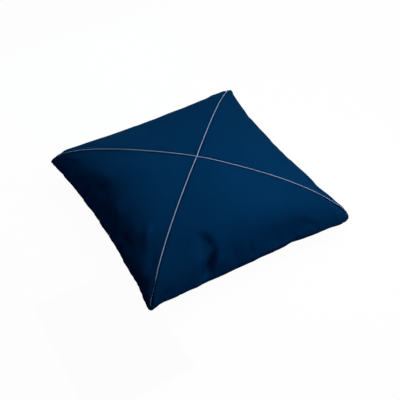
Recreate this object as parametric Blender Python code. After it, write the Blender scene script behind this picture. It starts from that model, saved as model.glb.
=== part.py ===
"""A filled square throw cushion lying on its back, as a Blender model in metres.

Four triangular front panels meet at the crown. Thin piping is sewn into the seams between
them, along both diagonals: one length from corner to corner, and two half lengths that
stop against it. A plain seam joins the front to the back all round, and the cushion's
back rests flat on the surface at Z = 0.
"""

from collections import namedtuple

import bpy
import numpy as np

MM = 0.001

# Main sizes. The sides lie along X and Y, and the panelled front faces up.
HALF_SIDE = 250 * MM
SEAM_HEIGHT = 50 * MM
CROWN = 87 * MM

# Form of the front, on a square that runs from -1 to 1 each way. Its crown stands a little
# off the middle. A higher squareness makes the four panels flatter, and the other powers
# shape the fall from the crown to the seam.
CROWN_SHIFT = np.array((3.2, -1.8)) * MM
SQUARENESS = 3.0
CROWN_POWER = 1.95
CORNER_CROWN_POWER = 1.6
SIDE_POWER = 0.55
CORNER_POWER = 0.31
CORNER_SPREAD = 3.0

# Form of the back: the share of its full depth where it reaches the surface below, and how
# far it would bulge past that surface if it weren't pressed flat.
REST_SHARE = 0.86
REST_PRESS = 1.5 * MM

# The seam stands out of the filled body as a flattened edge.
EDGE_DEPTH = 4.0 * MM
EDGE_REACH = 7 * MM
EDGE_FADE = 75 * MM

# Sewn channels along the diagonals, wider towards the seam, and the piping that lies in
# them and rises a little at the corner tips.
CHANNEL_DEPTH = 2.4 * MM
CHANNEL_WIDTH = 3.0 * MM
CHANNEL_START = 10 * MM
CHANNEL_FLARE = 1.2
FLARE_REACH = 100 * MM
PIPING_RADIUS = 1.25 * MM
PIECE_GAP = 0.3 * MM
PIPING_SINK = CHANNEL_DEPTH - PIPING_RADIUS - PIECE_GAP
TIP_RISE = 0.9 * MM
TIP_REACH = 20 * MM

# How closely the faces stand. Distances from a diagonal keep the channels even. The piping
# runs out to a ring just short of the seam.
FRONT_RINGS = 26
PIPING_RINGS = 23
RING_CROWDING = 1.9
BACK_RINGS = (0.993, 0.97, 0.93, 0.87, 0.79, 0.66, 0.48)
CHANNEL_COLUMNS = np.array((0.0, 1.6, 3.2, 5.6)) * MM
OPEN_PANEL_FROM = 9.0 * MM
CROWDED_SHARE = 0.55
COLUMN_CROWDING = 2.5

# The sides, anticlockwise from the near left corner. Each row says how far the middle of
# the side is drawn in, how far its seam edge is let out between the corners, how far the
# middle is lifted, how much fuller its front panel is, and how many columns of faces it has.
Side = namedtuple("Side", "name outward draw_in let_out lift swell columns")
SIDES = (
    Side("front", (0, -1), 8 * MM, 3.9 * MM, 2 * MM, 15 * MM, 49),
    Side("right", (1, 0), 28 * MM, 2.3 * MM, 1 * MM, 6 * MM, 29),
    Side("back", (0, 1), 8.6 * MM, 2.6 * MM, 3.2 * MM, -11 * MM, 27),
    Side("left", (-1, 0), 17.6 * MM, 2.1 * MM, 4 * MM, 20 * MM, 39),
)

# The corner where each side starts: its height above the seam's, and its rounding. Its tip
# is pushed along X and Y and lifted, over a reach along both sides. Its diagonal seam veers
# along the perimeter at the rim, and sways to one side halfway to the crown.
Corner = namedtuple("Corner", "name lift radius push_x push_y tip_lift reach veer sway")
CORNERS = (
    Corner("near_left", 4.5 * MM, 7 * MM, 1.0 * MM, -4.5 * MM, -3 * MM, 23 * MM, -4 * MM, -1.7 * MM),
    Corner("near_right", -11 * MM, 34 * MM, 1.0 * MM, -4.8 * MM, 0 * MM, 42 * MM, 8 * MM, -2.7 * MM),
    Corner("far_right", 6.5 * MM, 7.5 * MM, 4.5 * MM, -1.5 * MM, -1 * MM, 20 * MM, 12 * MM, 1.6 * MM),
    Corner("far_left", -1 * MM, 9.5 * MM, 1.5 * MM, 0 * MM, -6.5 * MM, 30 * MM, -14 * MM, 3.0 * MM),
)

# The edge is let out evenly almost up to the corners. The seams veer only near the rim.
LET_OUT_POWER = 12
VEER_FROM = 0.84
VEER_WIDTH = 40 * MM
SWAY_WIDTH = 80 * MM

# Places where the perimeter seam is drawn in, or with a negative depth let out, in
# millimetres. The power keeps them near the seam.
Nick = namedtuple("Nick", "side along depth width")
NICKS = (
    Nick("front", -190, -1.6, 36),
    Nick("front", -140, -1.9, 12),
    Nick("front", 104, 5.7, 18),
    Nick("front", 166, -2.2, 34),
    Nick("front", 210, -2.4, 12),
    Nick("right", -162, 5.0, 14),
    Nick("right", 6, -2.6, 50),
    Nick("right", 60, 2.4, 18),
    Nick("back", -210, 3.6, 18),
    Nick("back", -66, -3.2, 26),
    Nick("back", 134, 3.6, 40),
    Nick("back", 214, -2.6, 12),
    Nick("left", -76, -1.4, 12),
    Nick("left", 120, -1.4, 14),
    Nick("left", 192, 2.6, 26),
)
NICK_POWER = 14

# Folds of the front panels, in millimetres. A place on a panel is given by how far along
# its side it is from the middle, and how far up the cloth from the seam. The line bows
# sideways between its ends, and is deepest at a share of its length. A negative depth is
# a ridge. The slack number widens its right hand wall, seen from its start.
Fold = namedtuple(
    "Fold",
    "side from_along from_reach to_along to_reach bow deepest depth width slack",
    defaults=(1,),
)
FOLDS = (
    # The sharp bent crease of the front panel, in two legs.
    Fold("front", -150, 119, -94, 50, -4, 0.60, 10.5, 9, 3.0),
    Fold("front", -93, 78, -114, -10, 4, 0.48, 13.5, 9, 2.6),
    # Soft hollows between that crease and the near right corner.
    Fold("front", -52, 4, -42, 60, 0, 0.40, 3.0, 11),
    Fold("front", -8, -4, -5, 64, 0, 0.30, 2.6, 9),
    Fold("front", -30, 30, 140, 18, 0, 0.50, 4.0, 24),
    Fold("front", 98, 20, 162, 32, 0, 0.60, 5.5, 18),
    Fold("front", 218, -2, 227, 32, 0, 0.35, 2.6, 9),
    # The soft hollows towards the near left corner.
    Fold("front", -176, 40, -190, 160, 0, 0.45, 1.2, 22),
    Fold("front", -236, 10, -184, 20, 0, 0.50, 2.2, 9),
    # The steep left flank, with its hollows, the ridges above them and its short creases.
    Fold("left", -252, 40, -140, 34, 0, 0.45, 3.0, 26),
    Fold("left", -132, 46, -12, 56, 0, 0.70, 5.5, 15),
    Fold("left", -136, 92, -16, 90, 0, 0.60, -2.4, 15),
    Fold("left", 2, 66, 76, 62, 0, 0.50, -2.8, 13),
    Fold("left", -84, -4, -84, 52, 0, 0.45, 3.0, 9),
    Fold("left", -104, 0, -101, 36, 0, 0.45, -2.4, 9),
    Fold("left", 50, 46, 222, 62, 0, 0.62, 6.4, 23, 2.2),
    Fold("left", 84, 38, 134, 46, 0, 0.50, 3.0, 14),
    Fold("left", 78, 2, 98, 34, 0, 0.50, -2.2, 9),
    Fold("left", 136, 84, 188, 94, 0, 0.50, 2.6, 12, 1.4),
    Fold("left", 170, 18, 246, 72, 0, 0.60, -4.0, 15),
    Fold("left", 186, 72, 206, 124, 0, 0.50, -2.4, 12),
    # Short gathers along the two far seams.
    Fold("right", -70, 20, -116, 112, 0, 0.65, -2.2, 9),
    Fold("right", -36, 20, -72, 104, 0, 0.65, -1.8, 9),
    Fold("right", 8, 4, 2, 100, 0, 0.60, 2.4, 13),
    Fold("right", 126, 4, 132, 96, 0, 0.55, 2.4, 13),
    Fold("right", 148, 4, 154, 84, 0, 0.55, -1.6, 11),
    Fold("back", -194, 4, -204, 104, 0, 0.60, -2.2, 13),
    Fold("back", -176, 4, -172, 88, 0, 0.60, 2.0, 11),
    Fold("back", -48, 8, -30, 112, 0, 0.60, -2.4, 14),
    Fold("back", 24, 8, 40, 100, 0, 0.60, 2.2, 12),
    Fold("back", 208, 20, 224, 130, 0, 0.60, 2.4, 11),
)

CLOTH_COLOUR = (0.001, 0.032, 0.110, 1.0)
CLOTH_ROUGHNESS = 0.68
PIPING_COLOUR = (0.285, 0.310, 0.500, 1.0)
PIPING_ROUGHNESS = 0.80


def clear_scene():
    for old in list(bpy.data.objects):
        bpy.data.objects.remove(old)


def material(name, colour, roughness):
    made = bpy.data.materials.new(name)
    made.use_nodes = True
    shader = made.node_tree.nodes["Principled BSDF"]
    shader.inputs["Base Color"].default_value = colour
    shader.inputs["Roughness"].default_value = roughness
    shader.inputs["Metallic"].default_value = 0.0
    return made


def eased(share):
    """0 to 1 with soft ends."""
    share = np.clip(share, 0, 1)
    return share * share * (3 - 2 * share)


def outline(side_number, t):
    """The seam's square place, shift, nicks, sway and lift, at t from -1 to 1 along a side."""
    side = SIDES[side_number]
    starts = CORNERS[side_number]
    ends = CORNERS[(side_number + 1) % len(CORNERS)]
    outward = np.array(side.outward, float)
    along = np.array((-outward[1], outward[0]))
    corner_radius = np.where(t < 0, starts.radius, ends.radius)
    into_corner = np.abs(t) * HALF_SIDE - (HALF_SIDE - corner_radius)
    turn = np.clip(into_corner / corner_radius, 0, 1) * np.pi / 4
    rounded = into_corner > 0
    back_off = np.where(rounded, corner_radius * (1 - np.cos(turn)), 0)
    slide = np.where(rounded, corner_radius * np.sin(turn) - into_corner, 0)
    inward = back_off + side.draw_in * (1 - t ** 2)
    square = outward + along * t[:, None]
    shift = along * (np.sign(t) * slide)[:, None] - outward * inward[:, None]
    towards_end = (t + 1) / 2
    lift = side.lift * (1 - t ** 2)
    lift += starts.lift * (1 - towards_end) ** 3 + ends.lift * towards_end ** 3
    sway = np.zeros_like(square)
    for corner, from_corner, sideways in (
        (starts, (1 + t) * HALF_SIDE, along + outward),
        (ends, (1 - t) * HALF_SIDE, along - outward),
    ):
        close = np.exp(-((from_corner / corner.reach) ** 2))
        shift += close[:, None] * np.array((corner.push_x, corner.push_y))
        lift += corner.tip_lift * close
        nearby = np.exp(-((from_corner / SWAY_WIDTH) ** 2))
        sway += corner.sway * nearby[:, None] * sideways / np.sqrt(2)
    drawn = -side.let_out * (1 - t ** LET_OUT_POWER)
    for nick in NICKS:
        if nick.side == side.name:
            from_nick = t * HALF_SIDE / MM - nick.along
            drawn += nick.depth * MM * np.exp(-((from_nick / nick.width) ** 2))
    return square, shift, -outward * drawn[:, None], sway, lift


def front_rise(u, v, swell):
    """Height of the front above the seam at a place on the square."""
    far = np.maximum(np.abs(u), np.abs(v))
    near = np.minimum(np.abs(u), np.abs(v))
    across = near / np.maximum(far, 1e-9)
    size = far ** SQUARENESS + near ** SQUARENESS - (far * near) ** SQUARENESS
    size = np.clip(size, 0, 1) ** (1 / SQUARENESS)
    by_corner = across ** CORNER_SPREAD
    crown_power = CROWN_POWER + (CORNER_CROWN_POWER - CROWN_POWER) * by_corner
    power = SIDE_POWER + (CORNER_POWER - SIDE_POWER) * by_corner
    rise = CROWN * (1 - size ** crown_power) ** power
    return rise + 4 * swell * far ** 2 * (1 - far ** 2) * (1 - across ** 2) ** 2


def back_drop(u, v):
    """Depth of the back below the seam, level where it rests on the surface."""
    fullness = np.sqrt((1 - u ** 2) * (1 - v ** 2))
    short_of_rest = 1 - np.clip(fullness / REST_SHARE, 0, 1)
    return (SEAM_HEIGHT + REST_PRESS) * (1 - short_of_rest ** 2)


def open_columns(side):
    """Places of the open panel's columns from -1 to 1, closer across narrow folds."""
    along = np.linspace(-1, 1, 1001)
    crowd = np.ones_like(along)
    for fold in FOLDS:
        if fold.side == side.name:
            middle = (fold.from_along + fold.to_along) / 2 * MM / HALF_SIDE
            spread = (abs(fold.to_along - fold.from_along) / 2 + fold.width) * MM / HALF_SIDE
            sharp = abs(fold.depth) / fold.width
            crowd += COLUMN_CROWDING * sharp * np.exp(-(((along - middle) / spread) ** 2))
    share = np.cumsum(crowd)
    return np.interp(np.linspace(share[0], share[-1], side.columns), share, along)


def ring_columns(radius):
    """t of each column on one ring, panel by panel from its first corner on."""
    half = HALF_SIDE * radius
    steps = np.arange(len(CHANNEL_COLUMNS)) / len(CHANNEL_COLUMNS)
    beside = np.minimum(CHANNEL_COLUMNS * np.sqrt(2) / half, CROWDED_SHARE * steps)
    open_to = 1 - min(OPEN_PANEL_FROM * np.sqrt(2) / half, CROWDED_SHARE)
    panels = [(beside - 1, open_columns(side) * open_to, 1 - beside[:0:-1]) for side in SIDES]
    return np.concatenate([part for parts in panels for part in parts])


def panel_numbers():
    """Number of the panel that each column of a ring belongs to."""
    beside = 2 * len(CHANNEL_COLUMNS) - 1
    return np.repeat(np.arange(len(SIDES)), [side.columns + beside for side in SIDES])


def veered(panel_t, radius):
    """Side number and t of one ring's columns, once the corners have slid along the rim."""
    place = panel_numbers() + (panel_t + 1) / 2
    moved = np.zeros_like(place)
    far_out = eased((radius - VEER_FROM) / (1 - VEER_FROM))
    for number, corner in enumerate(CORNERS):
        from_corner = ((place - number + 2) % 4 - 2) * 2 * HALF_SIDE
        slid = corner.veer * far_out * np.exp(-((from_corner / VEER_WIDTH) ** 2))
        moved += slid / (2 * HALF_SIDE)
    place = (place + moved) % 4
    return np.floor(place).astype(int), 2 * (place % 1) - 1


def ring_points(radius, sides, t, is_front):
    """One ring's points, at the places given by side number and t."""
    points = np.zeros((len(t), 3))
    for number, side in enumerate(SIDES):
        here = sides == number
        square, shift, nicks, sway, lift = outline(number, t[here])
        plan = square * HALF_SIDE * radius + CROWN_SHIFT * (1 - radius ** 2) ** 2
        plan += sway * 4 * radius * (1 - radius)
        plan += shift * radius ** 4 + nicks * radius ** NICK_POWER
        u, v = (square * radius).T
        rise = front_rise(u, v, side.swell) if is_front else -back_drop(u, v)
        points[here] = np.column_stack((plan, SEAM_HEIGHT + lift * radius ** 3 + rise))
    return points


def cover_grid():
    """All rings from the crown out to the seam and in under the back, before any folds."""
    out = 1 - (1 - np.arange(1, FRONT_RINGS + 1) / FRONT_RINGS) ** RING_CROWDING
    radii = np.concatenate((out, BACK_RINGS))
    rows = []
    sides = []
    places = []
    panel_places = []
    for ring, radius in enumerate(radii):
        panel_t = ring_columns(radius)
        side_numbers, t = veered(panel_t, radius)
        rows.append(ring_points(radius, side_numbers, t, ring < FRONT_RINGS))
        sides.append(side_numbers)
        places.append(t)
        panel_places.append(panel_t)
    rows = np.array(rows)
    rows[:, :, 2] = np.maximum(rows[:, :, 2], 0)
    return rows, np.array(sides), np.array(places), np.array(panel_places), radii


def grid_normals(rows):
    """Outward direction at each point of a closed grid of rings."""
    around = np.roll(rows, -1, axis=1) - np.roll(rows, 1, axis=1)
    outwards = np.gradient(rows, axis=0)
    normals = np.cross(outwards, around)
    return normals / np.linalg.norm(normals, axis=2, keepdims=True)


def reach_from_seam(rows):
    """Distance over the cloth from the seam, along each column, on the front and the back."""
    steps = np.linalg.norm(np.diff(rows, axis=0), axis=2)
    walked = np.concatenate((np.zeros((1, rows.shape[1])), np.cumsum(steps, axis=0)))
    return np.abs(walked - walked[FRONT_RINGS - 1])


def fold_depth(fold, along, reach):
    """Depth of one fold at places given along the side and up from the seam."""
    run = np.array((fold.to_along - fold.from_along, fold.to_reach - fold.from_reach)) * MM
    length = np.hypot(*run)
    way = run / length
    from_start = (along - fold.from_along * MM, reach - fold.from_reach * MM)
    share = (from_start[0] * way[0] + from_start[1] * way[1]) / length
    on_line = np.clip(share, 0, 1)
    across = from_start[0] * way[1] - from_start[1] * way[0]
    across = across - 4 * fold.bow * MM * on_line * (1 - on_line)
    width = np.where(across > 0, fold.width * fold.slack, fold.width) * MM
    strength = eased(np.minimum(share / fold.deepest, (1 - share) / (1 - fold.deepest)))
    return fold.depth * MM * strength * np.exp(-((across / width) ** 2))


def edge_depth(rows, reach):
    """How far the filled body stays inside the flattened edge of the seam, clear of the rest."""
    depth = EDGE_DEPTH * (1 - np.exp(-reach / EDGE_REACH)) * np.exp(-reach / EDGE_FADE)
    return depth * eased(rows[:, :, 2] / (SEAM_HEIGHT / 2))


def pressed_depth(rows, sides, t, panel_t, radii):
    """How far each point of the cover is pressed in by folds, channels and the seam."""
    reach = reach_from_seam(rows)
    along = t * HALF_SIDE
    off_diagonal = (1 - np.abs(panel_t)) * HALF_SIDE * radii[:, None] / np.sqrt(2)
    folded = np.zeros_like(reach)
    for number, side in enumerate(SIDES):
        for fold in FOLDS:
            if fold.side == side.name:
                folded += np.where(sides == number, fold_depth(fold, along, reach), 0)
    folded *= eased(off_diagonal / (2 * OPEN_PANEL_FROM))
    width = CHANNEL_WIDTH * (1 + CHANNEL_FLARE * (1 - eased(reach / FLARE_REACH)))
    channel = CHANNEL_DEPTH * np.exp(-((off_diagonal / width) ** 2))
    channel *= eased(reach / CHANNEL_START)
    is_front = (np.arange(len(radii)) < FRONT_RINGS)[:, None]
    return np.where(is_front, folded + channel, 0) + edge_depth(rows, reach)


def closed_mesh(name, crown, rows, rest):
    """One closed mesh from a top point, rings that run outwards and under, and a last point."""
    ring_size = rows.shape[1]
    points = np.concatenate((crown[None], rows.reshape(-1, 3), rest[None]))
    last = len(points) - 1
    faces = []
    for column in range(ring_size):
        following = (column + 1) % ring_size
        faces.append((0, 1 + column, 1 + following))
        for ring in range(len(rows) - 1):
            start = 1 + ring * ring_size
            below = start + ring_size
            faces.append((start + column, below + column, below + following, start + following))
        final = 1 + (len(rows) - 1) * ring_size
        faces.append((final + column, last, final + following))
    mesh = bpy.data.meshes.new(name)
    mesh.from_pydata(points.tolist(), [], faces)
    mesh.validate()
    mesh.shade_smooth()
    return mesh


def add_object(name, data, finish):
    data.materials.append(finish)
    made = bpy.data.objects.new(name, data)
    bpy.context.scene.collection.objects.link(made)
    return made


def add_piping(name, points, finish):
    """A thin sewn-in cord along the given points."""
    curve = bpy.data.curves.new(name, "CURVE")
    curve.dimensions = "3D"
    curve.bevel_depth = PIPING_RADIUS
    curve.bevel_resolution = 2
    curve.use_fill_caps = True
    line = curve.splines.new("POLY")
    line.points.add(len(points) - 1)
    for spot, place in zip(line.points, points):
        spot.co = (*place, 1.0)
    line.use_smooth = True
    return add_object(name, curve, finish)


def main():
    clear_scene()
    rows, sides, t, panel_t, radii = cover_grid()
    normals = grid_normals(rows)
    pressed = rows - normals * pressed_depth(rows, sides, t, panel_t, radii)[:, :, None]
    pressed[:, :, 2] = np.maximum(pressed[:, :, 2], 0)
    middle = (pressed.min(axis=(0, 1)) + pressed.max(axis=(0, 1))) / 2
    to_middle = np.array((middle[0], middle[1], 0))
    top = np.array((*CROWN_SHIFT, SEAM_HEIGHT + CROWN))
    crown = top - np.array((0, 0, CHANNEL_DEPTH)) - to_middle
    rest = np.array((0.0, 0.0, 0.0))

    cloth = material("navy_cloth", CLOTH_COLOUR, CLOTH_ROUGHNESS)
    trim = material("mauve_piping", PIPING_COLOUR, PIPING_ROUGHNESS)
    add_object("cushion", closed_mesh("cushion", crown, pressed - to_middle, rest), cloth)

    reach = reach_from_seam(rows)
    sunk = PIPING_SINK + edge_depth(rows, reach) - TIP_RISE * np.exp(-((reach / TIP_REACH) ** 2))
    seated = rows - normals * sunk[:, :, None] - to_middle
    top_seat = top - np.array((0, 0, PIPING_SINK)) - to_middle
    diagonals = np.searchsorted(panel_numbers(), np.arange(len(SIDES)))
    arms = [seated[:PIPING_RINGS, column] for column in diagonals]
    near_left, near_right, far_right, far_left = arms
    add_piping("piping_long", [*far_right[::-1], top_seat, *near_left], trim)
    for name, arm in (("piping_half_left", far_left), ("piping_half_right", near_right)):
        clearance = (PIPING_RADIUS + PIECE_GAP) / np.linalg.norm(arm[0] - top_seat)
        add_piping(name, [top_seat + (arm[0] - top_seat) * clearance, *arm], trim)


main()
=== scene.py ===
"""Looks of the square throw cushion: its filled cover, sewn from four front panels and a
back, the piping in its diagonal seams, the cloth's finishes, and a plain studio.

The cover is worked out as rings of cloth that run from the crown out to the seam and back
under the cushion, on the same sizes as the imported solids, then pressed in by channels,
folds and the small gathers of the seam.
"""

import math
from collections import namedtuple

import bpy
import numpy as np
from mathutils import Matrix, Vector


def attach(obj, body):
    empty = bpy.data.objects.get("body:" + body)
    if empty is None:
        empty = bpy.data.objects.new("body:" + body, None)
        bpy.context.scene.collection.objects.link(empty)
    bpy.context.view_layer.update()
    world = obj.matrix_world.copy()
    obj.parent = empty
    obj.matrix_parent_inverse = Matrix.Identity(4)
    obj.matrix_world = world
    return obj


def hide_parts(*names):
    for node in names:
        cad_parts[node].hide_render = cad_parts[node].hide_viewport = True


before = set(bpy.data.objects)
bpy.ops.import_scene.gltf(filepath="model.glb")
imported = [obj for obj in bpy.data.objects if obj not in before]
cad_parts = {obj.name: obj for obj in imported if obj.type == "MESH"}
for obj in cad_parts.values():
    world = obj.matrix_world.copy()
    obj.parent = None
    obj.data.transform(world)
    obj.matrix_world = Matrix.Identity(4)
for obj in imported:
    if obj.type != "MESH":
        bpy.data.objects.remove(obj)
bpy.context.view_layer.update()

MM = 0.001

# Main sizes and form, as in the solids. The powers are those of the crown's slope and edge.
HALF_SIDE = 250 * MM
SEAM_HEIGHT = 50 * MM
CROWN = 87 * MM
CROWN_SHIFT = np.array((3.2, -1.8)) * MM
SQUARENESS = 3.0
CROWN_POWER = 1.95
CORNER_CROWN_POWER = 1.6
SIDE_POWER = 0.55
CORNER_POWER = 0.31
CORNER_SPREAD = 3.0
REST_SHARE = 0.86
REST_PRESS = 1.5 * MM

# How fast the seam's shape fades on the way in to the crown, and how squarely it is let out
# between the corners. All are powers.
SHIFT_FADE = 4
LIFT_FADE = 3
NICK_FADE = 14
LET_OUT_POWER = 12

# The seam stands out of the filled body as a flattened edge.
EDGE_DEPTH = 4.0 * MM
EDGE_REACH = 7 * MM
EDGE_FADE = 75 * MM

# The sewn channels on the diagonals.
CHANNEL_DEPTH = 2.9 * MM
CHANNEL_WIDTH = 2.7 * MM
CHANNEL_START = 10 * MM
CHANNEL_FLARE = 0.9
FLARE_REACH = 100 * MM
CROSSING_DIP = 1.2 * MM
CROSSING_REACH = 9 * MM

# The piping in them. Its ends thin to a share of its radius and tuck in under the seam. The
# last value is how many radii from the long piping's middle each half length starts.
PIPING_RADIUS = 1.0 * MM
PIPING_SINK = 0.6 * MM
PIPING_STEP = 1.4 * MM
PIPING_SIDES = 16
PIPING_SMOOTHING = 3
PIPING_TIP = 0.35
TUCK_LENGTH = 6 * MM
TUCK_DEPTH = 3.2 * MM
HALF_PIPING_FROM = 1.15

# Ridges that wind round the piping one way, and a slower ripple the other way, as shares of
# its radius.
RIDGE_HEIGHT = 0.035
RIDGE_PITCH = 7 * MM
RIPPLE_HEIGHT = 0.02
RIPPLE_PITCH = 23 * MM

# How finely the cover is worked out. The columns beside a channel are given as distances
# from its middle, and near the crown they take no more than the crowded share of a panel.
FRONT_RINGS = 108
BACK_RINGS = 36
RING_CROWDING = 1.9
CHANNEL_COLUMNS = np.array((0.0, 0.8, 1.6, 2.4, 3.4, 4.8, 6.6)) * MM
OPEN_PANEL_FROM = 9.0 * MM
CROWDED_SHARE = 0.55
CROWDING_STEPS = 2001

# The middle of each side is drawn in and lifted, its seam edge is let out between the
# corners, and its panel swells, or lies flatter where that value is negative. Columns of
# the grid crowd together at its sharpest fold.
Side = namedtuple(
    "Side", "name outward draw_in let_out lift swell columns fold_at fold_spread crowding"
)
SIDES = (
    Side("front", (0, -1), 8 * MM, 3.9 * MM, 2 * MM, 15 * MM, 190, -105 * MM, 30 * MM, 3.0),
    Side("right", (1, 0), 28 * MM, 2.3 * MM, 1 * MM, 6 * MM, 92, 0 * MM, 60 * MM, 0.0),
    Side("back", (0, 1), 8.6 * MM, 2.6 * MM, 3.2 * MM, -11 * MM, 92, 0 * MM, 60 * MM, 0.0),
    Side("left", (-1, 0), 17.6 * MM, 2.1 * MM, 4 * MM, 20 * MM, 132, -90 * MM, 40 * MM, 0.6),
)

# Each corner starts the side of the same place in the table above. Its tip is pushed out of
# the square and up or down. Its diagonal seam veers to one side at the rim, sways halfway,
# and sinks between its two panels before the corner.
Corner = namedtuple("Corner", "name lift radius push_x push_y tip_lift reach veer sway sink")
CORNERS = (
    Corner("near_left", 4.5 * MM, 7 * MM, 1.0 * MM, -4.5 * MM, -3 * MM, 23 * MM,
           -4 * MM, -1.7 * MM, 6.6 * MM),
    Corner("near_right", -11 * MM, 34 * MM, 1.0 * MM, -4.8 * MM, 0 * MM, 42 * MM,
           8 * MM, -2.7 * MM, 0),
    Corner("far_right", 6.5 * MM, 7.5 * MM, 4.5 * MM, -1.5 * MM, -1 * MM, 20 * MM,
           12 * MM, 1.6 * MM, 0),
    Corner("far_left", -1 * MM, 9.5 * MM, 1.5 * MM, 0 * MM, -6.5 * MM, 30 * MM,
           -14 * MM, 3.0 * MM, 0),
)

# How far from the corners these go. The seam sinks over the stretch between two distances
# from its corner, and from there to the corner it rises again by a share of that depth.
VEER_FROM = 0.84
VEER_WIDTH = 40 * MM
SWAY_WIDTH = 80 * MM
SINK_FROM = 84 * MM
SINK_TO = 45 * MM
SINK_RISE = 0.55

# Places where the perimeter seam is drawn in, or with a negative depth let out, in
# millimetres. Along is counted from the side's middle, towards the next corner in the table.
Nick = namedtuple("Nick", "side along depth width")
NICKS = (
    Nick("front", -220, 1.2, 12),
    Nick("front", -190, -1.6, 36),
    Nick("front", -140, -1.9, 12),
    Nick("front", -104, 1.2, 18),
    Nick("front", -40, 0.8, 14),
    Nick("front", 0, -1.0, 8),
    Nick("front", 20, 1.0, 14),
    Nick("front", 104, 5.7, 18),
    Nick("front", 166, -2.2, 34),
    Nick("front", 210, -2.4, 12),
    Nick("right", -215, 2.4, 18),
    Nick("right", -190, -1.8, 12),
    Nick("right", -166, 6.4, 19),
    Nick("right", -112, 0.8, 16),
    Nick("right", 6, -2.6, 50),
    Nick("right", 60, 2.4, 18),
    Nick("right", 106, -1.3, 14),
    Nick("right", 164, -1.2, 36),
    Nick("back", -210, 3.6, 18),
    Nick("back", -150, 0.8, 14),
    Nick("back", -66, -3.2, 26),
    Nick("back", 20, 1.2, 16),
    Nick("back", 38, -1.4, 12),
    Nick("back", 134, 3.6, 40),
    Nick("back", 214, -2.6, 11),
    Nick("back", 232, 3.2, 9),
    Nick("left", -212, -1.0, 18),
    Nick("left", -182, 0.7, 14),
    Nick("left", -168, -1.6, 8),
    Nick("left", -100, 1.0, 16),
    Nick("left", -76, -1.4, 12),
    Nick("left", -40, 1.2, 12),
    Nick("left", -27, -1.2, 8),
    Nick("left", -12, 1.6, 12),
    Nick("left", 8, -1.8, 9),
    Nick("left", 120, -1.4, 14),
    Nick("left", 192, 2.6, 26),
)

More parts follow.
